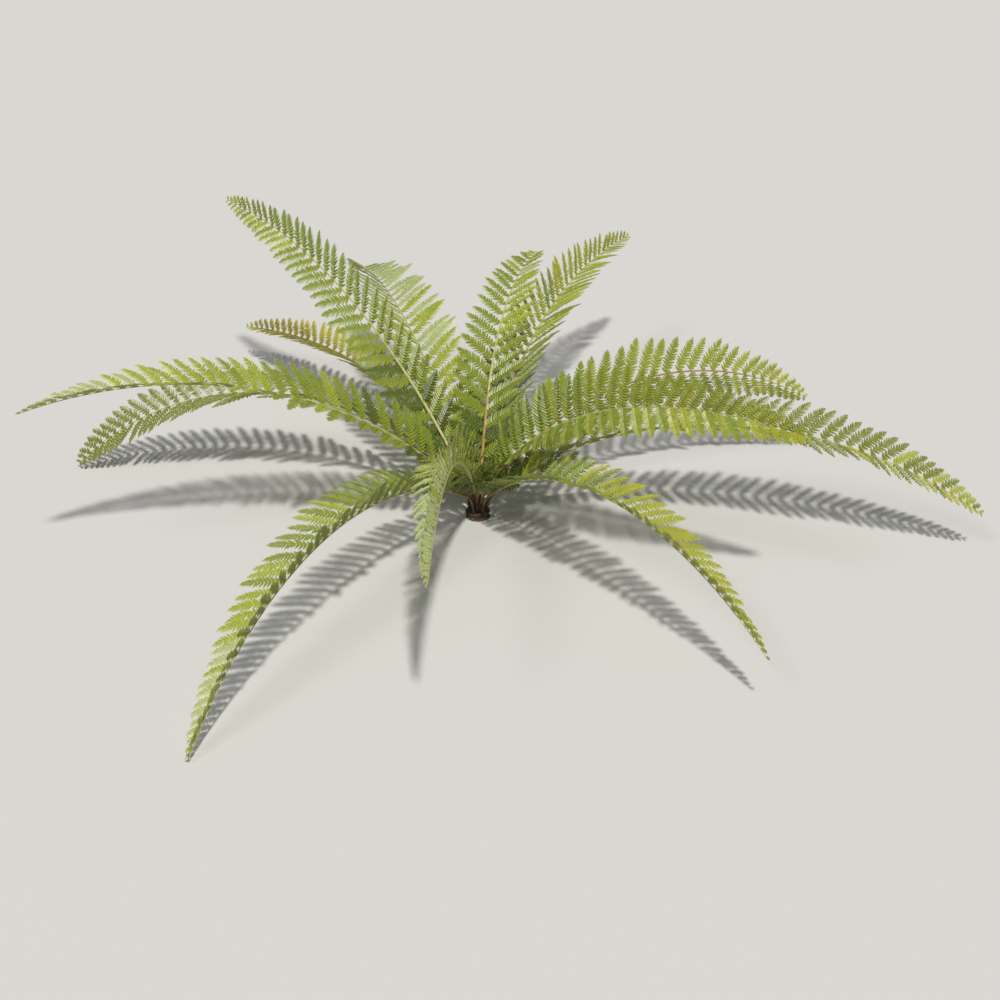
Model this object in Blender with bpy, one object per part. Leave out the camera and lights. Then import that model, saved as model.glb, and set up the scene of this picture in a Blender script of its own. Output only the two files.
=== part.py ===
"""Young tree fern, rooted in the ground, that has not yet grown a trunk.

A short upright caudex stands on its flat cut at ground level and carries a crown of arching
fronds.  Each frond is one solid: a rib, the stipe and rachis, with a thin pointed pinna on both
sides of each joint, so that the outline of the blade is cut to the rib between its leaflets.

Metres, +Z up.  The origin is the middle of the flat cut, at ground level.
"""

import math
from collections import namedtuple

import bmesh
import bpy
from mathutils import Matrix, Vector
from mathutils.bvhtree import BVHTree

# Caudex: a short turned stem with a swollen foot and a flat growing top.
CAUDEX_HEIGHT = 0.012
CAUDEX_FOOT_RADIUS = 0.027
CAUDEX_WAIST_RADIUS = 0.0235
CAUDEX_TOP_RADIUS = 0.0240
CAUDEX_SIDES = 20

# Two rings of stipes stand on the growing top: the young, steep ones inside the older ones.
RING_RADIUS = {"inner": 0.0092, "outer": 0.0186}
SEAT_GAP = 0.0003

# The rib is a strip, broad and thick at its foot and fine at the tip of the frond.
STIPE_WIDTH = 0.0060
STIPE_THICKNESS = 0.0048
TIP_WIDTH = 0.0016
TIP_THICKNESS = 0.0016
TAPER_POWER = 0.9  # under 1, so the rib thins a little faster at first
UPRIGHT_SHARE = 0.008  # share of the frond that stands straight up on its seat
HEEL_SHARE = 0.07  # share of the frond by which it has turned from upright to its own rise
SWEEP_POWER = 1.5  # over 1, so a frond turns aside mostly in its outer part
CURVE_STEPS = 250

# The blade: pinnae in pairs, pointed, longest before the middle.
BARE_SHARE = 0.05  # share of the frond below its first pair
PAIR_SPACING = 0.0365
PAIR_CROWDING = 0.2  # pairs stand this part wider at the foot, and twice that closer at the tip
PINNA_LEAST_LENGTH = 0.010
PINNA_THICKNESS = 0.0013
PINNA_WIDTH_SHARE = 0.78  # widest part of a pinna against the spacing of the pairs
PINNA_WIDEST_AT = 0.42
PINNA_NARROWING = 0.24  # width against length where pinnae are short
SEAT_SHARE = 0.46  # share of the spacing that a pinna's seat takes on the rib
PINNA_LEAN = 60.0  # degrees between the rib's direction and the pinna
ROLL_SETTLES_AT = 0.15  # share of the blade by which it has taken its roll

# Fullness of the blade from its first pair, place 0, to its tip, place 1: part of an arch of a sine.
ARCH_START = 0.09
ARCH_SKEW = 0.85
ARCH_BREADTH = 0.62

# A pinna is tried as it grows, then lifted by some degrees or shorter, until it clears every
# other frond: (lift, reach against its full length).
PINNA_TRIES = (
    (0, 1.0),
    (14, 1.0),
    (-14, 1.0),
    (26, 0.9),
    (-26, 0.9),
    (0, 0.66),
    (16, 0.45),
    (-16, 0.45),
)
CLEARANCE = 0.0008
GROUND_CLEARANCE = 0.0015

# seat: bearing of its foot on the ring, in degrees from +X towards +Y.  heading: the same, of the
# frond as it leaves the crown.  rise: degrees above level where the frond leaves the crown.
# droop: degrees it falls from foot to tip, and curl the power of that fall along the frond.
# sweep: degrees the heading turns by the tip.  roll and twist: degrees the blade is turned about
# the rib from its first pair on, and further by the tip, left side up.  valley: degrees that both
# sides of the blade are raised along the rib.  pinna: its longest pinna.
Frond = namedtuple("Frond", "name ring seat heading length rise droop curl sweep roll twist valley pinna")

FRONDS = (
    Frond("frond_front", "inner", 262, 264.3, 1.00, 47.8, 62, 1.18, 3, 13, 77, 45, 0.081),
    Frond("frond_front_left", "outer", 241, 241, 1.10, 37, 82, 1.14, 3, 3, 43, 40, 0.090),
    Frond("frond_front_right", "outer", 302, 299.4, 0.985, 44.2, 82, 1.12, 10.5, 32, -84, 35, 0.076),
    Frond("frond_right_low", "outer", 353, 352.4, 1.085, 50.7, 84, 0.80, -5.3, -13, 42, 26, 0.096),
    Frond("frond_right_high", "inner", 312, 311, 0.90, 63, 75, 1.04, 26, 48, 26, 42, 0.099),
    Frond("frond_back_right_low", "outer", 26, 22, 0.82, 62, 96, 0.91, -10, 78, 6, -19, 0.092),
    Frond("frond_back_right", "outer", 78, 78, 0.99, 28, 27, 1.18, -24, -13, 55, 47, 0.094),
    Frond("frond_back_short", "inner", 62, 83, 0.70, 69, 76, 1.19, -14, -4, -1, 23, 0.084),
    Frond("frond_back", "inner", 112, 113, 1.00, 42.2, 68, 1.20, -10, 3, 6, 27, 0.110),
    Frond("frond_back_left_low", "outer", 119, 113.3, 1.00, 15.4, 25.4, 1.05, 28.3, 34, -73, 37, 0.078),
    Frond("frond_back_left", "inner", 162, 132, 0.99, 52, 52, 1.14, -1, -52, -14, 23, 0.080),
    Frond("frond_left_low", "outer", 158, 153.1, 0.985, 45.1, 89, 0.95, 31.8, 54, -114, 16, 0.100),
    Frond("frond_left_high", "inner", 212, 201, 1.02, 53, 68, 1.11, -4, -36, 58, 26, 0.090),
)

# One tint for each frond: fresh green on the upper ones, duller below, one turning golden.
GREEN = (0.205, 0.235, 0.045, 1.0)
SHADED_GREEN = (0.130, 0.150, 0.030, 1.0)
GOLDEN_GREEN = (0.300, 0.290, 0.050, 1.0)
SCALE_BROWN = (0.090, 0.048, 0.022, 1.0)
FROND_TINTS = {
    "frond_back_left_low": GOLDEN_GREEN,
    "frond_left_low": SHADED_GREEN,
    "frond_right_low": SHADED_GREEN,
    "frond_back_right_low": SHADED_GREEN,
}

Station = namedtuple("Station", "share point along side up")


def clear_scene():
    for thing in list(bpy.data.objects):
        bpy.data.objects.remove(thing, do_unlink=True)


def material(name, colour, roughness):
    finish = bpy.data.materials.new(name)
    finish.use_nodes = True
    shader = finish.node_tree.nodes["Principled BSDF"]
    shader.inputs["Base Color"].default_value = colour
    shader.inputs["Roughness"].default_value = roughness
    shader.inputs["Metallic"].default_value = 0.0
    return finish


def named_object(name, mesh, finish):
    thing = bpy.data.objects.new(name, mesh)
    bpy.context.scene.collection.objects.link(thing)
    mesh.materials.append(finish)
    return thing


def blend(start, end, share):
    return start + (end - start) * share


def build_caudex():
    """Turn the outline of the caudex about the upright axis, closed by its two flat faces."""
    outline = (
        (CAUDEX_FOOT_RADIUS, 0.0),
        (CAUDEX_FOOT_RADIUS * 0.96, CAUDEX_HEIGHT * 0.18),
        (CAUDEX_WAIST_RADIUS, CAUDEX_HEIGHT * 0.50),
        (CAUDEX_TOP_RADIUS, CAUDEX_HEIGHT * 0.86),
        (CAUDEX_TOP_RADIUS * 0.95, CAUDEX_HEIGHT),
    )
    shape = bmesh.new()
    rings = []
    for radius, height in outline:
        ring = bmesh.ops.create_circle(shape, segments=CAUDEX_SIDES, radius=radius)["verts"]
        bmesh.ops.translate(shape, verts=ring, vec=(0.0, 0.0, height))
        rings.append(ring)
    for lower, upper in zip(rings, rings[1:]):
        for side in range(CAUDEX_SIDES):
            after = (side + 1) % CAUDEX_SIDES
            shape.faces.new((lower[side], lower[after], upper[after], upper[side]))
    shape.faces.new(rings[0])
    shape.faces.new(rings[-1])
    bmesh.ops.recalc_face_normals(shape, faces=shape.faces)
    mesh = bpy.data.meshes.new("caudex")
    shape.to_mesh(mesh)
    shape.free()
    mesh.shade_smooth()
    mesh.set_sharp_from_angle(angle=math.radians(40))
    return named_object("caudex", mesh, material("caudex_scales", SCALE_BROWN, 0.85))


def rib_line(frond):
    """Points, directions and blade axes along the rib, from the seat on the caudex to the tip."""
    heading = math.radians(frond.heading)
    seat = math.radians(frond.seat)
    radius = RING_RADIUS[frond.ring]
    point = Vector((radius * math.cos(seat), radius * math.sin(seat), CAUDEX_HEIGHT + SEAT_GAP))
    step = frond.length / CURVE_STEPS
    line = []
    for index in range(CURVE_STEPS + 1):
        share = index / CURVE_STEPS
        turned = (share - UPRIGHT_SHARE) / (HEEL_SHARE - UPRIGHT_SHARE)
        heel = (1.0 - min(1.0, max(0.0, turned))) ** 2
        rise = frond.rise - frond.droop * share ** frond.curl + (90.0 - frond.rise) * heel
        turn = heading + math.radians(frond.sweep) * share ** SWEEP_POWER
        rise = math.radians(rise)
        along = Vector((
            math.cos(rise) * math.cos(turn),
            math.cos(rise) * math.sin(turn),
            math.sin(rise),
        ))
        side = Vector((-math.sin(turn), math.cos(turn), 0.0))
        blade_share = max(0.0, share - HEEL_SHARE) / (1.0 - HEEL_SHARE)
        settled = min(1.0, blade_share / ROLL_SETTLES_AT)
        roll = math.radians(frond.roll * settled + frond.twist * blade_share)
        side.rotate(Matrix.Rotation(roll, 3, along))
        if line:
            point = point + (along + line[-1].along) * step / 2
        line.append(Station(share, point, along, side, along.cross(side)))
    return line


def station_at(line, share):
    """The place on the rib at a share of its length, between two computed points."""
    place = share * CURVE_STEPS
    index = min(int(place), CURVE_STEPS - 1)
    before, after, part = line[index], line[index + 1], place - index
    return Station(
        share,
        before.point.lerp(after.point, part),
        before.along.lerp(after.along, part).normalized(),
        before.side.lerp(after.side, part).normalized(),
        before.up.lerp(after.up, part).normalized(),
    )


def crowd(place):
    """Where a pair stands on the blade, 0 to 1, so that pairs come closer towards its tip."""
    return (1.0 + PAIR_CROWDING) * place - PAIR_CROWDING * place ** 3


def rib_shares(frond):
    """Shares along the rib: the bare stipe, then the lower and upper end of each pair's seat."""
    bare = [0.0] + [blend(UPRIGHT_SHARE, HEEL_SHARE, bend) for bend in (0.0, 0.3, 0.7)]
    pairs = round(frond.length * (1.0 - BARE_SHARE) / PAIR_SPACING)
    lower = [BARE_SHARE + (1.0 - BARE_SHARE) * crowd(pair / pairs) for pair in range(pairs + 1)]
    seats = [(low, blend(low, after, SEAT_SHARE)) for low, after in zip(lower, lower[1:])]
    return bare, seats


def pinna_length(frond, share):
    """Lanceolate blade: short pinnae at the foot, longest before the middle, fine at the tip."""
    place = (share - BARE_SHARE) / (1.0 - BARE_SHARE)
    arch = blend(ARCH_START, 1.0, place) ** ARCH_SKEW
    return max(PINNA_LEAST_LENGTH, frond.pinna * math.sin(math.pi * arch) ** ARCH_BREADTH)


def pinna_corners(frond, low, seat, hand, lift, reach):
    """The three free corners of a pinna: its lower and upper widest points and its tip.

    low is the station at the lower end of its seat, seat the middle of that on the rib's edge,
    and hand is 1 on the left and -1 on the right.
    """
    raised = math.radians(frond.valley + lift)
    lean = math.radians(PINNA_LEAN)
    outward = low.side * hand * math.cos(raised) + low.up * math.sin(raised)
    ray = outward * math.sin(lean) + low.along * math.cos(lean)
    across = (low.along - ray * low.along.dot(ray)).normalized()
    length = pinna_length(frond, low.share) * reach
    width = min(PAIR_SPACING * PINNA_WIDTH_SHARE * math.sin(lean), length * PINNA_NARROWING)
    middle = seat + ray * length * PINNA_WIDEST_AT
    return middle - across * width / 2, middle + across * width / 2, seat + ray * length


def slab(corners, thickness):
    """Points and faces of the closed slab that a flat polygon of corners makes."""
    normal = (corners[1] - corners[0]).cross(corners[2] - corners[0]).normalized() * thickness / 2
    count = len(corners)
    points = [corner + normal for corner in corners] + [corner - normal for corner in corners]
    faces = [tuple(range(count)), tuple(reversed(range(count, 2 * count)))]
    for index in range(count):
        after = (index + 1) % count
        faces.append((index, index + count, after + count, after))
    return points, faces


def search_tree(slabs):
    """One tree of all the slabs, to find what would touch them."""
    points, faces = [], []
    for slab_points, slab_faces in slabs:
        shift = len(points)
        points += slab_points
        faces += [tuple(corner + shift for corner in face) for face in slab_faces]
    return BVHTree.FromPolygons(points, faces)


def rib_corners(line, share):
    """The station at a share of the frond, with the rib's left and right edge there."""
    station = station_at(line, share)
    half = blend(STIPE_WIDTH, TIP_WIDTH, share ** TAPER_POWER) / 2
    return station, station.point + station.side * half, station.point - station.side * half


def rib_thickness(share):
    return blend(STIPE_THICKNESS, TIP_THICKNESS, share ** TAPER_POWER)


def rib_slabs(line, shares):
    """Slabs along the rib, as thick as it is, for the search tree."""
    slabs = []
    rows = [rib_corners(line, share) for share in shares]
    for (low, left, right), (_, next_left, next_right) in zip(rows, rows[1:]):
        slabs.append(slab((right, next_right, next_left, left), rib_thickness(low.share)))
    return slabs


def grow_pinnae(frond, line, seats, others):
    """Corners of each pinna that clears the other fronds and the ground, by seat and hand."""
    grown = {}
    slabs = []
    for index, (start, end) in enumerate(seats):
        low, *low_edges = rib_corners(line, start)
        _, *high_edges = rib_corners(line, end)
        for hand, low_edge, high_edge in zip((1, -1), low_edges, high_edges):
            for lift, reach in PINNA_TRIES:
                seat = (low_edge + high_edge) / 2
                near, far, tip = pinna_corners(frond, low, seat, hand, lift, reach)
                outline = (low_edge, near, tip, far, high_edge)
                guard = search_tree([slab(outline, PINNA_THICKNESS + 2 * CLEARANCE)])
                lowest = min(corner.z for corner in outline)
                if lowest < GROUND_CLEARANCE or any(guard.overlap(tree) for tree in others):
                    continue
                grown[index, hand] = (near, far, tip)
                slabs.append(slab(outline, PINNA_THICKNESS))
                break
    return grown, slabs


def build_frond(frond, line, bare, seats, grown):
    """A sheet, one strip for the rib and a quad and a point for each pinna, made solid.

    The corners' weights let the rib be thicker than the pinnae.
    """
    shape = bmesh.new()
    weight = shape.verts.layers.deform.verify()
    least = PINNA_THICKNESS / STIPE_THICKNESS

    def vertex(place, thickness):
        corner = shape.verts.new(place)
        corner[weight][0] = (thickness / STIPE_THICKNESS - least) / (1.0 - least)
        return corner

    shares = bare + [share for seat in seats for share in seat]
    rows = []
    for share in shares:
        _, left, right = rib_corners(line, share)
        rows.append((vertex(left, rib_thickness(share)), vertex(right, rib_thickness(share))))
    for (left, right), (next_left, next_right) in zip(rows, rows[1:]):
        shape.faces.new((right, next_right, next_left, left))
    tip = vertex(line[-1].point, TIP_THICKNESS)
    shape.faces.new((rows[-1][1], tip, rows[-1][0]))

    for (index, hand), (near, far, point) in grown.items():
        low, high = rows[len(bare) + 2 * index], rows[len(bare) + 2 * index + 1]
        edge = 0 if hand == 1 else 1
        near, far, point = [vertex(corner, PINNA_THICKNESS) for corner in (near, far, point)]
        for face in ((low[edge], high[edge], far, near), (near, far, point)):
            shape.faces.new(face if hand == 1 else tuple(reversed(face)))

    mesh = bpy.data.meshes.new(frond.name)
    shape.to_mesh(mesh)
    shape.free()
    tint = FROND_TINTS.get(frond.name, GREEN)
    thing = named_object(frond.name, mesh, material(frond.name + "_green", tint, 0.55))
    group = thing.vertex_groups.new(name="rib")
    solid = thing.modifiers.new("blade_thickness", "SOLIDIFY")
    solid.thickness = STIPE_THICKNESS
    solid.offset = 0.0
    solid.vertex_group = group.name
    solid.thickness_vertex_group = least
    return thing


def build_fronds():
    """Lay every rib first, then grow the blades one by one, each clear of all that stands."""
    plans = []
    for frond in FRONDS:
        line = rib_line(frond)
        bare, seats = rib_shares(frond)
        shares = bare + [share for seat in seats for share in seat] + [1.0]
        plans.append((frond, line, bare, seats, search_tree(rib_slabs(line, shares))))
    ribs = [plan[-1] for plan in plans]
    blades = []
    for number, (frond, line, bare, seats, _) in enumerate(plans):
        others = [rib for place, rib in enumerate(ribs) if place != number] + blades
        grown, slabs = grow_pinnae(frond, line, seats, others)
        blades.append(search_tree(slabs))
        build_frond(frond, line, bare, seats, grown)


clear_scene()
build_caudex()
build_fronds()
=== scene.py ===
import math
from collections import namedtuple

import bmesh
import bpy
import numpy as np
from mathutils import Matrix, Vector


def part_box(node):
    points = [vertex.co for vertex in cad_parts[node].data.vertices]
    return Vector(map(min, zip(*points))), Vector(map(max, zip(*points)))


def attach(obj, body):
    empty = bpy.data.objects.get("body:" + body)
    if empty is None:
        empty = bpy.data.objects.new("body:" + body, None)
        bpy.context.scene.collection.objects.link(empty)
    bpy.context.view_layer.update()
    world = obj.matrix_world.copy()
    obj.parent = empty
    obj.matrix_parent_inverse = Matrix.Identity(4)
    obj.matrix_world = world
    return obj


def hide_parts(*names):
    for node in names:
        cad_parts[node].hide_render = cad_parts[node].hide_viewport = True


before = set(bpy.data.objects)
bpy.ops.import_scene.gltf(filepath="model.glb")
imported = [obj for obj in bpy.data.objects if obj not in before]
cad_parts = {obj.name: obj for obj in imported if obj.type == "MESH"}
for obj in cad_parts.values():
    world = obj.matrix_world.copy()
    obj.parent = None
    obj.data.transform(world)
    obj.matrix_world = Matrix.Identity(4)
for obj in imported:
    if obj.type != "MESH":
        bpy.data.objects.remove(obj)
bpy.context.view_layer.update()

# ------------------------------------------------------------------------------------------
# Caudex: the short upright stem, a woody stub wrapped in the stumps of shed stipes. It stands
# on its flat cut at ground level and widens a little where the ring of living stipes sits.

caudex_low, caudex_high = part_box("caudex")
CAUDEX_HEIGHT = caudex_high[2] - caudex_low[2]
CAUDEX_RADIUS = (caudex_high[0] - caudex_low[0]) / 2
CAUDEX_SIDES = 96
CAUDEX_CUTS = 12
CROWN_RINGS = 9
STUMP_TURN = math.radians(137.5)  # the next stump stands this far round from the last
STUMP_COUNT = 34
STUMP_BREADTH = 0.0046
STUMP_TALLNESS = 1.5  # against its breadth
STUMP_EDGE = 1.6  # how steeply a stump falls off all round
STUMP_RELIEF = 0.0026
FIBRE_RELIEF = 0.0007
FIBRE_COUNT = 61
FIBRE_SWING = 5
FIBRE_BENDS = 7
RIDGE_COUNT = 23
RIDGE_SLANT = 11
WAIST_DEPTH = 0.17
WAIST_POWER = 0.8
UPWARD = 0.9  # faces whose normal rises more than this belong to the crown
WALL_SHARE = 0.99  # points farther out than this share of the radius are on the wall
TOP_SHARE = 0.999
CROWN_SHARE = 0.93  # how far the crown's points are drawn in
DIMPLE_DEPTH = 0.10  # of the height
DIMPLE_WAVES = 19
SMOOTH_ANGLE = math.radians(40)


def deselect_all():
    if bpy.context.mode != "OBJECT":
        bpy.ops.object.mode_set(mode="OBJECT")
    bpy.ops.object.select_all(action="DESELECT")


def places(mesh):
    """The mesh's points as rows of x, y and z."""
    flat = np.empty(len(mesh.vertices) * 3)
    mesh.vertices.foreach_get("co", flat)
    return flat.reshape(-1, 3)


def move_to(mesh, points):
    mesh.vertices.foreach_set("co", np.ascontiguousarray(points, dtype=float).ravel())
    mesh.update()


class Wire:
    """A socket with arithmetic: an expression on wires adds its Math nodes."""

    def __init__(self, tree, socket):
        self.tree = tree
        self.socket = socket

    def maths(self, operation, *values):
        return node(self.tree, "ShaderNodeMath", {"operation": operation}, dict(enumerate(values)))

    def __add__(self, other):
        return self.maths("ADD", self, other)

    def __mul__(self, other):
        return self.maths("MULTIPLY", self, other)

    __radd__ = __add__
    __rmul__ = __mul__


def node(tree, kind, settings=None, inputs=None, output=0):
    """Adds a node, sets it up, fills or links its sockets, and gives the wire of one output."""
    made = tree.nodes.new(kind)
    for name, value in (settings or {}).items():
        if name == "stops":
            ramp = made.color_ramp
            for place, colour in value[len(ramp.elements):]:
                ramp.elements.new(place)
            for element, (place, colour) in zip(ramp.elements, value):
                element.position = place
                element.color = colour
        else:
            setattr(made, name, value)
    for name, value in (inputs or {}).items():
        if isinstance(value, Wire):
            tree.links.new(value.socket, made.inputs[name])
        else:
            made.inputs[name].default_value = value
    return Wire(tree, made.outputs[output]) if made.outputs else None


def start_material(name):
    """A new material with an empty tree, and the wire of its object coordinates."""
    made = bpy.data.materials.new(name)
    made.use_nodes = True
    made.node_tree.nodes.clear()
    return made, node(made.node_tree, "ShaderNodeTexCoord", output="Object")


def noise(tree, where, scale, detail=3.0, distortion=0.0):
    values = {
        "Vector": where,
        "Scale": scale,
        "Detail": detail,
        "Roughness": 0.55,
        "Distortion": distortion,
    }
    return node(tree, "ShaderNodeTexNoise", inputs=values, output="Fac")


def mix_colours(tree, factor, first, second):
    values = {"Factor": factor, "A": first, "B": second}
    return node(tree, "ShaderNodeMix", {"data_type": "RGBA"}, values, output="Result")


def finish_material(made, values, relief, depth, distance, through=None, share=0.0):
    """Principled finish with a bump; a leaf also lets a share of light through, in its colour."""
    tree = made.node_tree
    bump = {"Height": relief, "Strength": depth, "Distance": distance}
    values["Normal"] = node(tree, "ShaderNodeBump", inputs=bump)
    surface = node(tree, "ShaderNodeBsdfPrincipled", inputs=values)
    if through is not None:
        behind = node(tree, "ShaderNodeBsdfTranslucent", inputs={"Color": through})
        surface = node(tree, "ShaderNodeMixShader", inputs={0: share, 1: surface, 2: behind})
    node(tree, "ShaderNodeOutputMaterial", inputs={"Surface": surface})
    return made


def bark_material():
    """Dark brown cork and old hairs: fine upright fibres over larger blotches."""
    made, where = start_material("caudex_bark")
    tree = made.node_tree
    stretched = node(
        tree, "ShaderNodeMapping", inputs={"Vector": where, "Scale": (900.0, 900.0, 120.0)}
    )
    fibres = noise(tree, stretched, 1.0, detail=4.0)
    blotches = noise(tree, where, 150.0)
    dark, rust, straw = (0.020, 0.012, 0.007, 1), (0.078, 0.044, 0.022, 1), (0.19, 0.13, 0.07, 1)
    brown = mix_colours(tree, blotches, dark, rust)
    streaked = node(
        tree,
        "ShaderNodeValToRGB",
        {"stops": ((0.50, (0, 0, 0, 1)), (0.72, (1, 1, 1, 1)))},
        {"Fac": fibres},
    )
    colour = mix_colours(tree, streaked, brown, straw)
    values = {"Base Color": colour, "Roughness": 0.70 + fibres * 0.25}
    return finish_material(made, values, fibres + blotches * 0.5, depth=0.9, distance=0.0012)


deselect_all()
bpy.ops.mesh.primitive_cylinder_add(
    vertices=CAUDEX_SIDES,
    radius=CAUDEX_RADIUS,
    depth=CAUDEX_HEIGHT,
    location=(0.0, 0.0, CAUDEX_HEIGHT / 2),
)
caudex = bpy.context.object
caudex.name = "caudex_stem"
bpy.ops.object.mode_set(mode="EDIT")
for cut in range(1, CAUDEX_CUTS):
    bpy.ops.mesh.select_all(action="SELECT")
    bpy.ops.mesh.bisect(
        plane_co=(0.0, 0.0, CAUDEX_HEIGHT * cut / CAUDEX_CUTS), plane_no=(0.0, 0.0, 1.0)
    )
bpy.ops.mesh.select_all(action="DESELECT")
shape = bmesh.from_edit_mesh(caudex.data)
for face in shape.faces:
    face.select = face.normal.z > UPWARD
bmesh.update_edit_mesh(caudex.data)
for ring in range(CROWN_RINGS):
    bpy.ops.mesh.inset(thickness=CAUDEX_RADIUS / (CROWN_RINGS + 1))
bpy.ops.mesh.poke()
bpy.ops.object.mode_set(mode="OBJECT")
bpy.ops.object.transform_apply(location=True, rotation=True, scale=True)

# Stumps bulge out all round the wall, in the same spiral as the fronds above them; the crown is
# drawn in and dimpled.
points = places(caudex.data)
radius = np.hypot(points[:, 0], points[:, 1])
bearing = np.arctan2(points[:, 1], points[:, 0])
height = points[:, 2] / CAUDEX_HEIGHT
waist = 1.0 - WAIST_DEPTH * np.sin(np.pi * np.clip(height, 0, 1) ** WAIST_POWER)
spread = radius / CAUDEX_RADIUS
wall = spread > WALL_SHARE
bulge = np.zeros(len(points))
for stump in range(STUMP_COUNT):
    turn = stump * STUMP_TURN
    rise = (stump + 0.5) / STUMP_COUNT
    across = (bearing - turn + math.pi) % (2 * math.pi) - math.pi
    off = (across * CAUDEX_RADIUS / STUMP_BREADTH) ** 2
    off = off + ((height - rise) * CAUDEX_HEIGHT / (STUMP_TALLNESS * STUMP_BREADTH)) ** 2
    bulge = np.maximum(bulge, np.exp(-off * STUMP_EDGE))
swing = FIBRE_SWING * np.sin(height * FIBRE_BENDS)
ridges = np.sin(bearing * RIDGE_COUNT + height * RIDGE_SLANT)
fibres = np.sin(bearing * FIBRE_COUNT + swing) * ridges
inward = STUMP_RELIEF * (1.0 - bulge) + FIBRE_RELIEF * (1.0 - fibres)
grown = np.where(wall, radius * waist - inward * waist, radius * CROWN_SHARE)
scale = np.divide(grown, radius, out=np.ones(len(points)), where=radius > 1e-6)
points[:, :2] *= scale[:, None]
crown = (height > TOP_SHARE) & ~wall
dimple = DIMPLE_DEPTH * CAUDEX_HEIGHT * (1 - np.cos(spread * DIMPLE_WAVES)) * spread
points[crown, 2] -= dimple[crown]
move_to(caudex.data, points)
bpy.ops.object.shade_smooth_by_angle(angle=SMOOTH_ANGLE)
caudex.data.materials.append(bark_material())
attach(caudex, "root")
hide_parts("caudex")

# ------------------------------------------------------------------------------------------
# Fronds, the line of each: the stipe stands up from its seat on the caudex, leans out and
# arches over, and the blade turns about it. The young, steep ones stand inside the older ones.

RING_RADIUS = {"inner": 0.0092, "outer": 0.0186}
SEAT_SINK = 0.003  # how deep the foot of a stipe is set into the caudex
UPRIGHT_SHARE = 0.008
HEEL_SHARE = 0.07
SWEEP_POWER = 1.5
ROLL_SETTLES_AT = 0.15
CURVE_STEPS = 400

Frond = namedtuple(
    "Frond", "name ring seat heading length rise droop curl sweep roll twist valley pinna"
)

# Angles are in degrees and lengths in metres. Seat is the bearing of the foot, heading that of
# the rib, and valley how far both sides of the blade are raised from it.
FRONDS = (
    Frond("frond_front", "inner", 262, 264.3, 1.00, 47.8, 62, 1.18, 3, 13, 77, 45, 0.081),
    Frond("frond_front_left", "outer", 241, 241, 1.10, 37, 82, 1.14, 3, 3, 43, 40, 0.090),
    Frond(
        "frond_front_right", "outer", 302, 299.4, 0.985, 44.2, 82, 1.12, 10.5, 32, -84, 35, 0.076
    ),
    Frond("frond_right_low", "outer", 353, 352.4, 1.085, 50.7, 84, 0.80, -5.3, -13, 42, 26, 0.096),
    Frond("frond_right_high", "inner", 312, 311, 0.90, 63, 75, 1.04, 26, 48, 26, 42, 0.099),
    Frond("frond_back_right_low", "outer", 26, 22, 0.82, 62, 96, 0.91, -10, 78, 6, -19, 0.092),
    Frond("frond_back_right", "outer", 78, 78, 0.99, 28, 27, 1.18, -24, -13, 55, 47, 0.094),
    Frond("frond_back_short", "inner", 62, 83, 0.70, 69, 76, 1.19, -14, -4, -1, 23, 0.084),
    Frond("frond_back", "inner", 112, 113, 1.00, 42.2, 68, 1.20, -10, 3, 6, 27, 0.110),
    Frond(
        "frond_back_left_low", "outer", 119, 113.3, 1.00, 15.4, 25.4, 1.05, 28.3, 34, -73, 37, 0.078
    ),
    Frond("frond_back_left", "inner", 162, 132, 0.99, 52, 52, 1.14, -1, -52, -14, 23, 0.080),
    Frond("frond_left_low", "outer", 158, 153.1, 0.985, 45.1, 89, 0.95, 31.8, 54, -114, 16, 0.100),
    Frond("frond_left_high", "inner", 212, 201, 1.02, 53, 68, 1.11, -4, -36, 58, 26, 0.090),
)

Line = namedtuple("Line", "share point along side up")


def unit(vectors):
    return vectors / np.linalg.norm(vectors, axis=-1, keepdims=True)


def blend(start, end, share):
    return start + (end - start) * share


def frond_line(frond):
    """Points, directions and blade axes along the rib, from its seat to the frond's tip."""
    share = np.linspace(0.0, 1.0, CURVE_STEPS + 1)
    turned = (share - UPRIGHT_SHARE) / (HEEL_SHARE - UPRIGHT_SHARE)
    heel = (1.0 - np.clip(turned, 0.0, 1.0)) ** 2
    fallen = frond.droop * share ** frond.curl
    rise = np.radians(frond.rise - fallen + (90.0 - frond.rise) * heel)
    turn = np.radians(frond.heading + frond.sweep * share ** SWEEP_POWER)
    level = np.cos(rise)
    along = np.stack([level * np.cos(turn), level * np.sin(turn), np.sin(rise)], axis=1)
    flat_side = np.stack([-np.sin(turn), np.cos(turn), np.zeros(len(share))], axis=1)
    place = np.clip(share - HEEL_SHARE, 0.0, None) / (1.0 - HEEL_SHARE)
    settled = np.minimum(1.0, place / ROLL_SETTLES_AT)
    roll = np.radians(frond.roll * settled + frond.twist * place)[:, None]
    side = flat_side * np.cos(roll) + np.cross(along, flat_side) * np.sin(roll)
    seat = math.radians(frond.seat)
    ring = RING_RADIUS[frond.ring]
    foot = np.array([ring * math.cos(seat), ring * math.sin(seat), CAUDEX_HEIGHT])
    steps = (along[1:] + along[:-1]) / 2 * frond.length / CURVE_STEPS
    point = np.vstack([foot, foot + np.cumsum(steps, axis=0)])
    return Line(share, point, along, side, np.cross(along, side))


def stand_at(line, shares):
    """The line's points and axes at other shares of its length."""
    def between(rows):
        return np.stack([np.interp(shares, line.share, column) for column in rows.T], axis=-1)
    axes = [unit(between(rows)) for rows in (line.along, line.side, line.up)]
    return Line(shares, between(line.point), *axes)


# ------------------------------------------------------------------------------------------
# Stipe and rachis of each frond: one firm rod, as thick as a pencil at its brown foot and fine
# as a straw at the tip, with a shallow groove along its upper face.

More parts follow.
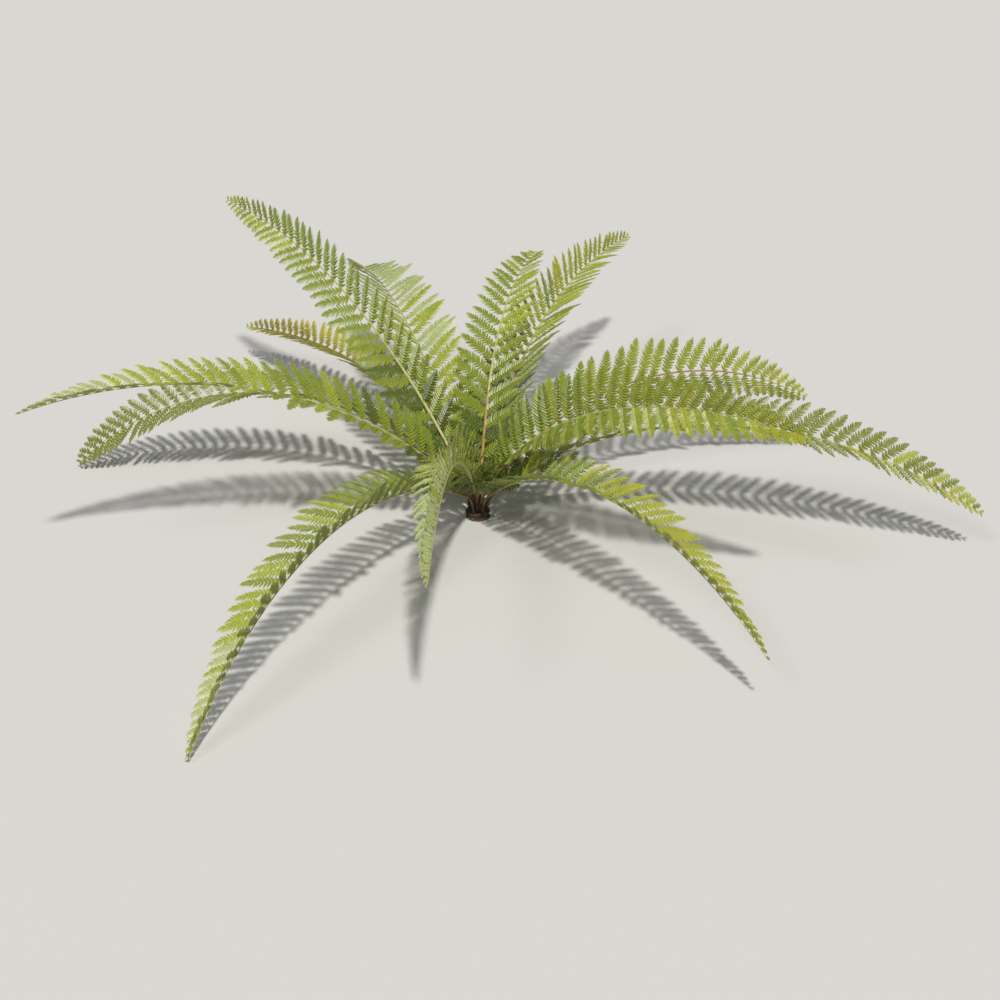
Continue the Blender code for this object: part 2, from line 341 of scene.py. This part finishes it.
RIB_WIDTH = 0.0062
RIB_THICKNESS = 0.0052
RIB_TIP_WIDTH = 0.0016
RIB_TAPER = 1.3
RIB_RINGS = 150
RIB_SIDES = 14
RIB_GROOVE = 0.26
GROOVE_BREADTH = math.radians(30)
ROUNDED_END = 0.012  # share of the rod in which each end rounds off

Pattern = namedtuple("Pattern", "points faces")


def roll_rod(rings, sides):
    """A closed rod one long and one in radius along X: a sheet rolled round and sewn up."""
    deselect_all()
    bpy.ops.mesh.primitive_grid_add(x_subdivisions=rings, y_subdivisions=sides, size=1.0)
    sheet = bpy.context.object
    points = places(sheet.data) + (0.5, 0.5, 0.0)
    turn = 2 * np.pi * points[:, 1]
    end = np.clip(np.minimum(points[:, 0], 1.0 - points[:, 0]) / ROUNDED_END, 0.0, 1.0)
    radius = np.sqrt(1.0 - (1.0 - end) ** 2)
    move_to(sheet.data, np.stack([points[:, 0], radius * np.cos(turn), radius * np.sin(turn)], 1))
    bpy.ops.object.mode_set(mode="EDIT")
    bpy.ops.mesh.select_all(action="SELECT")
    bpy.ops.mesh.remove_doubles(threshold=0.0001)
    bpy.ops.mesh.normals_make_consistent(inside=False)
    bpy.ops.object.mode_set(mode="OBJECT")
    rod = Pattern(places(sheet.data), [tuple(face.vertices) for face in sheet.data.polygons])
    bpy.data.objects.remove(sheet, do_unlink=True)
    return rod


def rib_radius(share):
    return blend(RIB_WIDTH, RIB_TIP_WIDTH, share ** RIB_TAPER) / 2


def bend_rachis(rod, line):
    """The rod laid along a frond's line, flattened a little and grooved above."""
    share, across, above = rod.points.T
    turn = np.arctan2(above, across)
    groove = 1.0 - RIB_GROOVE * np.exp(-(((turn - np.pi / 2) / GROOVE_BREADTH) ** 2))
    radius = (rib_radius(share) * groove)[:, None]
    stand = stand_at(line, share)
    flatness = RIB_THICKNESS / RIB_WIDTH
    offset = stand.side * across[:, None] + stand.up * above[:, None] * flatness
    sunk = np.clip(1.0 - share / UPRIGHT_SHARE, 0.0, 1.0)[:, None] * SEAT_SINK
    return stand.point + offset * radius - stand.along * sunk


# ------------------------------------------------------------------------------------------
# Pinnae: the side branches of the blade, in pairs. Each has its own fine costa, leans towards
# the frond's tip, is raised from the rib and bows over at its end.

BARE_SHARE = 0.05
PAIR_SPACING = 0.0255
PAIR_CROWDING = 0.2  # pairs stand this part wider at the foot, and twice that closer at the tip
PAIR_START = 0.35  # where the first left pinna stands, in rooms of a pair
PAIR_STAGGER = 0.16  # how much farther up the right one of a pair stands, in rooms
LAST_SHARE = 0.998  # no pinna stands beyond this share of the rib
PINNA_LEAST_LENGTH = 0.009
PINNA_LEAN = (math.radians(62), math.radians(46))  # from its rib, at foot and tip of the frond
ARCH_START = 0.09
ARCH_SKEW = 0.85
ARCH_BREADTH = 0.62
PINNA_BREADTH = 1.08  # its breadth against the room between it and the next
PINNA_BROADEST = 0.85  # and against its own length, where it is short
PINNA_BOW = 0.10  # how far its end turns towards the frond's tip
PINNA_SAG = 0.16  # how far its end hangs below the blade
SEAT_REACH = 0.8  # how far its seat stands out from the rib's middle, in radii
ORDER_SCATTER = 0.03  # how much pinnae differ: in place, in rooms
LENGTH_SCATTER = 0.035  # in length
RAISE_SCATTER = 2.5  # in degrees
LEAN_SCATTER = 1.5
TWIST_SCATTER = 5.0
BOW_SCATTER = 0.25  # in their share of bow and sag
SAG_SCATTER = 0.30
FULL_PINNA = 0.06  # a pinna shorter than this has a finer costa and end
COSTA_WIDTH = 0.0014
COSTA_TIP_WIDTH = 0.0003
COSTA_LEAST = 0.35  # of its full width, on the shortest pinnae
COSTA_RINGS = 7
COSTA_SIDES = 4

Pinnae = namedtuple("Pinnae", "place hand seat ray across above length breadth bow sag")


def spread_pinnae(frond, line, chance):
    """Seats, axes and lengths of all pinnae of a frond, left and right, as arrays."""
    pairs = round(frond.length * (1.0 - BARE_SHARE) / PAIR_SPACING)
    hand = np.tile([1.0, -1.0], pairs)
    order = np.repeat(np.arange(pairs), 2) + PAIR_START + PAIR_STAGGER * (hand < 0)
    order = (order + chance.normal(0, ORDER_SCATTER, 2 * pairs)) / pairs
    crowded = (1.0 + PAIR_CROWDING) * order - PAIR_CROWDING * order ** 3
    share = np.clip(blend(BARE_SHARE, 1.0, crowded), BARE_SHARE, LAST_SHARE)
    stand = stand_at(line, share)
    place = (share - BARE_SHARE) / (1.0 - BARE_SHARE)
    arch = blend(ARCH_START, 1.0, place) ** ARCH_SKEW
    uneven = chance.normal(1.0, LENGTH_SCATTER, 2 * pairs)
    length = frond.pinna * np.sin(np.pi * arch) ** ARCH_BREADTH * uneven
    length = np.maximum(length, PINNA_LEAST_LENGTH)
    widened = 1.0 + PAIR_CROWDING - 3.0 * PAIR_CROWDING * order.clip(0.0, 1.0) ** 2
    room = PAIR_SPACING * widened
    breadth = np.minimum(room * PINNA_BREADTH, length * PINNA_BROADEST)
    raised = np.radians(frond.valley + chance.normal(0, RAISE_SCATTER, 2 * pairs))[:, None]
    lean = blend(*PINNA_LEAN, place ** 3)
    lean = (lean + np.radians(chance.normal(0, LEAN_SCATTER, 2 * pairs)))[:, None]
    outward = stand.side * hand[:, None] * np.cos(raised) + stand.up * np.sin(raised)
    ray = outward * np.sin(lean) + stand.along * np.cos(lean)
    across = unit(stand.along - ray * np.sum(stand.along * ray, axis=1, keepdims=True))
    above = unit(np.cross(ray, across)) * -hand[:, None]
    twist = np.radians(chance.normal(0, TWIST_SCATTER, 2 * pairs))[:, None]
    across, above = (
        across * np.cos(twist) + above * np.sin(twist),
        above * np.cos(twist) - across * np.sin(twist),
    )
    seat = stand.point + stand.side * (hand * rib_radius(share) * SEAT_REACH)[:, None]
    bow = PINNA_BOW * chance.normal(1.0, BOW_SCATTER, 2 * pairs)
    sag = PINNA_SAG * chance.normal(1.0, SAG_SCATTER, 2 * pairs)
    return Pinnae(place, hand, seat, ray, across, above, length, breadth, bow, sag)


def along_pinna(pinnae, which, place):
    """Point, direction, side and top at a place, 0 to 1, along each of some pinnae."""
    ray, across, above = pinnae.ray[which], pinnae.across[which], pinnae.above[which]
    bow = (pinnae.bow[which] * place)[..., None]
    sag = (pinnae.sag[which] * place)[..., None]
    reach = (pinnae.length[which] * place)[..., None]
    point = pinnae.seat[which] + reach * (ray + across * bow / 2 - above * sag / 2)
    onward = unit(ray + across * bow - above * sag)
    side = unit(across - onward * np.sum(across * onward, axis=-1, keepdims=True))
    top = np.cross(onward, side) * -pinnae.hand[which][..., None]
    return point, onward, side, top


def bend_costae(rod, pinnae):
    """A fine rod laid along every pinna, as one array of points."""
    count = len(pinnae.length)
    which = np.repeat(np.arange(count), len(rod.points))
    place, across, above = np.tile(rod.points, (count, 1)).T
    point, _, side, top = along_pinna(pinnae, which, place)
    small = np.clip(pinnae.length[which] / FULL_PINNA, COSTA_LEAST, 1.0)
    width = blend(COSTA_WIDTH, COSTA_TIP_WIDTH, place) / 2 * small
    return point + (side * across[:, None] + top * above[:, None]) * width[:, None]


# ------------------------------------------------------------------------------------------
# Pinnules: the small toothed leaflets, two rows on each pinna. One is shaped, lobed at its
# edges and folded along its middle, and the rest are copies of it, each set a little apart.

LOBE_PLACES = (0.00, 0.20, 0.33, 0.54, 0.66, 0.86, 1.00)
LOBE_WIDTHS = (0.98, 1.00, 0.84, 0.86, 0.64, 0.48, 0.00)
MIDRIB_PLACES = (0.00, 0.14, 0.32, 0.48, 0.65, 0.82, 1.00)
PINNULE_FOLD = 0.70
PINNULE_SAG = 0.16
PINNULE_HOOK = 0.16  # how far its tip bends towards the pinna's tip
PINNULE_SPACING = 0.0057
PINNULE_WIDTH = 0.92  # against the room between it and the next
PINNULE_LEAN = (math.radians(70), math.radians(48))
PINNULE_RAISE = math.radians(9)
PINNULE_LEAST_LENGTH = 0.0016
PINNULE_BROADEST = 0.75  # against its own length, where it is short
HOOK_SPREAD = 0.5  # how much the hook grows with its length, beside its width
SEAT_BREADTH = 0.66  # of a pinna's full breadth, at its seat
SEAT_SWELL = 1.3  # how fast it widens from there
END_POWER = 4  # how late it narrows again
END_BLUNTNESS = 0.8
LEAST_ROWS = 4
FIRST_ROW = 0.55  # where the first pinnule stands, in rooms
END_ROOM = 0.4  # room left free beyond the last one
ROW_CROWDING = 0.22  # pinnules stand this part wider at the seat and closer at the end
ROW_STAGGER = 0.008  # how much farther on the second row stands
END_PLACE = 0.97  # where the single pinnule at a pinna's end sits
LAST_PLACE = 0.985
END_LENGTH = 0.0042
END_BREADTH = 0.45  # against its own length
END_LEAST = 0.5  # of its full length, on the shortest pinnae
ROW_SCATTER = 0.002  # how much pinnules differ: in place along the pinna
SIZE_SCATTER = 0.04  # in length
TURN_SCATTER = 3.0  # in degrees
LIFT_SCATTER = 5.0


def shape_pinnule():
    """One leaflet along X, one long and one wide, from a small grid."""
    deselect_all()
    rows = len(LOBE_PLACES) - 1
    bpy.ops.mesh.primitive_grid_add(x_subdivisions=rows, y_subdivisions=2, size=1.0)
    leaf = bpy.context.object
    points = places(leaf.data)
    row = np.rint((points[:, 0] + 0.5) * rows).astype(int)
    edge = np.sign(np.rint(points[:, 1] * 2))
    along = np.where(edge == 0, np.take(MIDRIB_PLACES, row), np.take(LOBE_PLACES, row))
    across = edge * np.take(LOBE_WIDTHS, row) / 2 + PINNULE_HOOK * along ** 2
    rise = PINNULE_FOLD * np.abs(edge) * np.take(LOBE_WIDTHS, row) / 2 - PINNULE_SAG * along ** 2
    move_to(leaf.data, np.stack([along, across, rise], axis=1))
    bpy.ops.object.mode_set(mode="EDIT")
    bpy.ops.mesh.select_all(action="SELECT")
    bpy.ops.mesh.remove_doubles(threshold=0.001)
    bpy.ops.object.mode_set(mode="OBJECT")
    shaped = Pattern(places(leaf.data), [tuple(face.vertices) for face in leaf.data.polygons])
    bpy.data.objects.remove(leaf, do_unlink=True)
    return shaped


def pinna_breadth(place):
    """Outline of a pinna: narrower at its seat, widest before the middle, blunt at its end."""
    swelling = np.minimum(1.0, SEAT_BREADTH + SEAT_SWELL * place)
    return swelling * (1.0 - place ** END_POWER) ** END_BLUNTNESS


def hang_pinnules(leaf, pinnae, chance):
    """Points of every pinnule of a frond, the pinna of each, and whether it is mirrored."""
    which, place, side_of = [], [], []
    for number, length in enumerate(pinnae.length):
        rows = max(LEAST_ROWS, round(length / PINNULE_SPACING))
        steps = (np.arange(rows) + FIRST_ROW) / (rows + END_ROOM)
        steps = steps * (1.0 + ROW_CROWDING - ROW_CROWDING * steps)
        for side in (1.0, -1.0):
            which.append(np.full(rows, number))
            place.append(steps + chance.normal(0, ROW_SCATTER, rows) + ROW_STAGGER * (side < 0))
            side_of.append(np.full(rows, side))
        which.append(np.array([number]))
        place.append(np.array([END_PLACE]))
        side_of.append(np.array([0.0]))
    which, place, side_of = [np.concatenate(rows) for rows in (which, place, side_of)]
    place = np.clip(place, 0.0, LAST_PLACE)
    point, onward, side, top = along_pinna(pinnae, which, place)
    pinna = pinnae.length[which]
    widened = 1.0 + ROW_CROWDING - 2.0 * ROW_CROWDING * place
    room = np.minimum(PINNULE_SPACING, pinna / LEAST_ROWS) * widened
    full = pinnae.breadth[which] / 2 / math.sin(PINNULE_LEAN[0])
    long = full * pinna_breadth(place) * chance.normal(1.0, SIZE_SCATTER, len(place))
    long = np.maximum(long, PINNULE_LEAST_LENGTH)
    wide = np.minimum(room * PINNULE_WIDTH, long * PINNULE_BROADEST)
    end = side_of == 0.0
    long[end] = END_LENGTH * np.clip(pinna[end] / FULL_PINNA, END_LEAST, 1.0)
    wide[end] = long[end] * END_BREADTH
    turned = np.radians(chance.normal(0, TURN_SCATTER, len(place)))
    lean = blend(*PINNULE_LEAN, place ** 1.5) + turned
    lean = np.where(end, 0.0, lean)[:, None]
    raised = (PINNULE_RAISE + np.radians(chance.normal(0, LIFT_SCATTER, len(place))))[:, None]
    outward = side * side_of[:, None] * np.cos(raised) + top * np.sin(raised)
    ray = onward * np.cos(lean) + outward * np.sin(lean)
    sideways = unit(onward - ray * np.sum(onward * ray, axis=1, keepdims=True) + side * 1e-6)
    sideways[end] = side[end]
    above = np.cross(ray, sideways)
    mirrored = np.sum(above * top, axis=1) < 0
    above[mirrored] *= -1
    x, y, z = leaf.points.T
    hook = PINNULE_HOOK * HOOK_SPREAD * x ** 2
    grown = (
        point[:, None, :]
        + (ray * long[:, None])[:, None, :] * x[None, :, None]
        + (sideways * wide[:, None])[:, None, :] * y[None, :, None]
        + (sideways * long[:, None])[:, None, :] * hook[None, :, None]
        + (above * wide[:, None])[:, None, :] * z[None, :, None]
    )
    return grown, which, mirrored


# ------------------------------------------------------------------------------------------
# Leaf tints: a fern's blade is a soft satin skin over pale veins, and lets some light through.
# Pinnae run through a ladder of four tints from foot to tip, and chance sets one here and
# there a rung higher or lower. The darkest rung, at the foot, is painted shade in the crown,
# and the whitish pale rung is a painted sheen.

LEAF_TINTS = {
    # Darkest green, for pinnae at a frond's foot: painted shade in the crown.
    "leaf_deep": (0.095, 0.132, 0.012),
    "leaf_olive": (0.185, 0.212, 0.018),
    "leaf_fresh": (0.222, 0.278, 0.022),
    "leaf_lime": (0.275, 0.318, 0.026),
    "leaf_bright": (0.325, 0.378, 0.034),
    "leaf_sunny": (0.340, 0.362, 0.030),
    # Whitish green: a painted sheen, standing for light glancing off the satin blade.
    "leaf_pale": (0.400, 0.462, 0.190),
    "leaf_golden": (0.430, 0.400, 0.038),
}
LEAF_GLOW = (1.25, 1.15, 0.55)  # the light that comes through a leaf, against its own tint
# The tints that a frond's pinnae run through from its foot to its tip.
TINT_LADDERS = {
    "fresh": ("leaf_deep", "leaf_fresh", "leaf_fresh", "leaf_bright"),
    # The next two ladders climb to the pale tint, a painted sheen on a frond's outer part.
    "sheen_tipped": ("leaf_deep", "leaf_fresh", "leaf_bright", "leaf_pale"),
    "pale": ("leaf_fresh", "leaf_bright", "leaf_pale", "leaf_pale"),
    "olive": ("leaf_deep", "leaf_olive", "leaf_olive", "leaf_sunny"),
    "ripening": ("leaf_fresh", "leaf_fresh", "leaf_lime", "leaf_sunny"),
    "sunny": ("leaf_deep", "leaf_fresh", "leaf_sunny", "leaf_sunny"),
    "shaded": ("leaf_deep", "leaf_olive", "leaf_olive", "leaf_olive"),
    "golden": ("leaf_olive", "leaf_sunny", "leaf_golden", "leaf_golden"),
}
FIRST_RUNG = 0.2  # where the lowest pinna stands on the ladder, in rungs
RUNGS_CLIMBED = 2.7
LAST_RUNG = 3
TINT_SCATTER = 0.36  # how far a pinna may stray from its place on the ladder, in rungs
LEAF_SHADE = 0.72  # the darkest and lightest clouds of a leaf, against its tint
LEAF_LIGHT = 1.30
# The ladder of each frond, on its left and on its right. Sides whose ladder climbs to the
# pale tint take a painted sheen, where light glances off the blade.
FROND_TINTS = {
    "frond_front": ("pale", "pale"),
    "frond_front_left": ("fresh", "sheen_tipped"),
    "frond_front_right": ("sunny", "sunny"),
    "frond_right_low": ("olive", "olive"),
    "frond_right_high": ("ripening", "ripening"),
    "frond_back_right_low": ("ripening", "ripening"),
    "frond_back_right": ("sunny", "sheen_tipped"),
    "frond_back_short": ("fresh", "sheen_tipped"),
    "frond_back": ("pale", "pale"),
    "frond_back_left_low": ("golden", "golden"),
    "frond_back_left": ("fresh", "fresh"),
    "frond_left_low": ("shaded", "shaded"),
    "frond_left_high": ("sheen_tipped", "sheen_tipped"),
}


def leaf_material(name, tint):
    """Satin leaf skin: cloudy colour, small raised cells, and some light let through."""
    made, where = start_material(name)
    tree = made.node_tree
    clouds = noise(tree, where, 45.0, detail=2.0)
    cells = noise(tree, where, 900.0, detail=2.0)
    dark = tuple(channel * LEAF_SHADE for channel in tint) + (1.0,)
    light = tuple(channel * LEAF_LIGHT for channel in tint) + (1.0,)
    colour = mix_colours(tree, clouds * 0.75 + cells * 0.25, dark, light)
    through = tuple(channel * glow for channel, glow in zip(tint, LEAF_GLOW)) + (1.0,)
    values = {
        "Base Color": colour,
        "Roughness": 0.36 + clouds * 0.16,
        "Specular IOR Level": 0.85,
        "Sheen Weight": 0.06,
        "Sheen Roughness": 0.45,
    }
    return finish_material(
        made, values, cells, depth=0.35, distance=0.0004, through=through, share=0.28
    )


LEAF_MATERIALS = [leaf_material(name, tint) for name, tint in LEAF_TINTS.items()]


def deal_tints(frond, pinnae, chance):
    """A tint for each pinna: up its side's ladder from foot to tip, give or take a rung."""
    order = list(LEAF_TINTS)
    ladders = np.array([
        [order.index(tint) for tint in TINT_LADDERS[ladder]] for ladder in FROND_TINTS[frond.name]
    ])
    rung = FIRST_RUNG + RUNGS_CLIMBED * pinnae.place
    rung = rung + chance.normal(0, TINT_SCATTER, len(pinnae.place))
    rung = np.clip(np.rint(rung), 0, LAST_RUNG).astype(int)
    return ladders[(pinnae.hand < 0).astype(int), rung]


# ------------------------------------------------------------------------------------------
# Rib finishes: the stipe is dark and scurfy at its foot, the rachis tan and then pale green,
# smooth and a little glossy, and the costae are the blade's own green, lighter.

RIB_TINTS = {
    "stipe_brown": ((0.030, 0.014, 0.007), (0.095, 0.045, 0.018)),
    "rachis_tan": ((0.200, 0.115, 0.026), (0.370, 0.240, 0.060)),
    "rachis_pale": ((0.270, 0.280, 0.085), (0.480, 0.460, 0.190)),
    "costa_green": ((0.220, 0.250, 0.070), (0.400, 0.420, 0.170)),
}


def rib_material(name, dark, light):
    """Smooth plant stem with long streaks and fine lengthwise ribs."""
    made, where = start_material(name)
    tree = made.node_tree
    streaks = noise(tree, where, 120.0, detail=4.0, distortion=0.6)
    specks = noise(tree, where, 1400.0, detail=2.0)
    colour = mix_colours(tree, streaks * 0.7 + specks * 0.3, dark + (1.0,), light + (1.0,))
    values = {"Base Color": colour, "Roughness": 0.34 + specks * 0.25, "Specular IOR Level": 0.5}
    return finish_material(made, values, specks + streaks, depth=0.30, distance=0.0003)


RIB_MATERIALS = [rib_material(name, *shades) for name, shades in RIB_TINTS.items()]
STIPE_BROWN, RACHIS_TAN, RACHIS_PALE, COSTA_GREEN = range(4)
BROWN_UNTIL = 0.045
TAN_UNTIL = {"frond_back_right": 0.45, "frond_back_right_low": 0.85, "frond_back_short": 0.35}
TAN_ELSEWHERE = 0.14
SCURF = 0.035  # how far one finish reaches into the next, in flecks
SCURF_GROWTH = 12  # how fast the flecks set in above the foot


def rib_finishes(frond, share, chance):
    """Which finish each face of the rachis takes, with ragged bounds between them."""
    flecks = chance.normal(0, SCURF, len(share))
    ragged = share + flecks * np.minimum(1.0, share * SCURF_GROWTH)
    tan_until = TAN_UNTIL.get(frond.name, TAN_ELSEWHERE)
    rachis = np.where(ragged < tan_until, RACHIS_TAN, RACHIS_PALE)
    return np.where(ragged < BROWN_UNTIL, STIPE_BROWN, rachis)


# ------------------------------------------------------------------------------------------
# The thirteen fronds are put together: on each, the rachis and costae are one piece, and the
# leaflets another, which stands for the plain blade.

GROUND_CLEARANCE = 0.0008
FIRST_SEED = 100
rachis_rod = roll_rod(RIB_RINGS, RIB_SIDES)
costa_rod = roll_rod(COSTA_RINGS, COSTA_SIDES)
leaflet = shape_pinnule()


def join_piece(name, points, faces, finishes, materials, smooth):
    """One mesh of all copies, on the root, with a finish for each face."""
    points[:, 2] = np.maximum(points[:, 2], GROUND_CLEARANCE)
    mesh = bpy.data.meshes.new(name)
    mesh.from_pydata(points.tolist(), [], faces)
    used = sorted(set(finishes.tolist()))
    for finish in used:
        mesh.materials.append(materials[finish])
    mesh.polygons.foreach_set("material_index", np.searchsorted(used, finishes).astype(np.int32))
    mesh.polygons.foreach_set("use_smooth", np.full(len(faces), smooth))
    mesh.update()
    piece = bpy.data.objects.new(name, mesh)
    bpy.context.scene.collection.objects.link(piece)
    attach(piece, "root")
    return piece


def copied_faces(faces, size, mirrored, first=0):
    """The faces of one shape, counted on for each copy, and turned over on a mirrored one."""
    rows = []
    for copy, turned in enumerate(mirrored):
        shift = first + copy * size
        for face in faces:
            corners = tuple(corner + shift for corner in face)
            rows.append(corners[::-1] if turned else corners)
    return rows


for number, frond in enumerate(FRONDS):
    chance = np.random.default_rng(FIRST_SEED + number)
    line = frond_line(frond)
    pinnae = spread_pinnae(frond, line, chance)

    rachis = bend_rachis(rachis_rod, line)
    costae = bend_costae(costa_rod, pinnae)
    faces = copied_faces(costa_rod.faces, len(costa_rod.points), pinnae.hand > 0, len(rachis))
    faces = rachis_rod.faces + faces
    share = np.array([rachis_rod.points[list(face), 0].mean() for face in rachis_rod.faces])
    finishes = np.concatenate([
        rib_finishes(frond, share, chance),
        np.full(len(pinnae.hand) * len(costa_rod.faces), COSTA_GREEN),
    ])
    ribs = join_piece(
        frond.name + "_ribs", np.vstack([rachis, costae]), faces, finishes, RIB_MATERIALS, True
    )

    grown, which, mirrored = hang_pinnules(leaflet, pinnae, chance)
    tints = deal_tints(frond, pinnae, chance)
    faces = copied_faces(leaflet.faces, len(leaflet.points), mirrored)
    finishes = np.repeat(tints[which], len(leaflet.faces))
    leaflets = join_piece(
        frond.name + "_leaflets", grown.reshape(-1, 3), faces, finishes, LEAF_MATERIALS, False
    )
    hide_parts(frond.name)

# ------------------------------------------------------------------------------------------
# The room: a plain pale floor, a far lamp above and in front, a broader and weaker one to its
# left, and light from all round.

FLOOR_SIZE = 40.0
KEY_FROM = (0.074, -0.599, 0.798)
FILL_FROM = (-0.413, -0.531, 0.740)
LAMP_DISTANCE = 5.0
FLOOR_DROP = 0.0005  # the floor lies this far below the plant's cut


def floor_material():
    """Matt pale floor with a grain that hardly shows."""
    made, where = start_material("pale_floor")
    tree = made.node_tree
    grain = noise(tree, where, 900.0)
    colour = mix_colours(tree, grain, (0.52, 0.51, 0.49, 1), (0.56, 0.55, 0.53, 1))
    values = {"Base Color": colour, "Roughness": 0.9}
    return finish_material(made, values, grain, depth=0.05, distance=0.001)


deselect_all()
bpy.ops.mesh.primitive_plane_add(size=FLOOR_SIZE, location=(0.0, 0.0, -FLOOR_DROP))
floor = bpy.context.object
floor.name = "floor"
floor.data.materials.append(floor_material())


def hang_lamp(name, direction, breadth, power, colour):
    """A far lamp, so the whole floor is lit alike; breadth is how wide it looks, in degrees."""
    lamp = bpy.data.lights.new(name, "SUN")
    lamp.angle = math.radians(breadth)
    lamp.energy = power
    lamp.color = colour
    held = bpy.data.objects.new(name, lamp)
    bpy.context.scene.collection.objects.link(held)
    held.location = [part * LAMP_DISTANCE for part in direction]
    flat = math.hypot(direction[0], direction[1])
    turn = math.atan2(direction[1], direction[0]) + math.pi / 2
    held.rotation_euler = (math.atan2(flat, direction[2]), 0.0, turn)


hang_lamp("key_lamp", KEY_FROM, breadth=3.0, power=3.6, colour=(1.0, 0.98, 0.94))
hang_lamp("fill_lamp", FILL_FROM, breadth=12.0, power=0.6, colour=(0.96, 0.98, 1.0))

world = bpy.data.worlds.new("soft_room")
world.use_nodes = True
glow = world.node_tree.nodes["Background"]
glow.inputs["Color"].default_value = (0.93, 0.95, 1.0, 1.0)
glow.inputs["Strength"].default_value = 0.26
bpy.context.scene.world = world
bpy.context.scene.view_settings.view_transform = "Standard"

# ------------------------------------------------------------------------------------------
# The camera stands in front of the plant, well back and at about head height, and looks down
# on the crown through a long lens.

CAMERA_PLACE = (0.045, -3.612, 1.877)
CAMERA_PITCH = math.radians(27)
CAMERA_LENS = 72.0

lens = bpy.data.cameras.new("camera")
lens.lens = CAMERA_LENS
lens.sensor_width = 36.0
camera = bpy.data.objects.new("camera", lens)
camera.location = CAMERA_PLACE
camera.rotation_euler = (math.pi / 2 - CAMERA_PITCH, 0.0, 0.0)
bpy.context.scene.collection.objects.link(camera)
bpy.context.scene.camera = camera
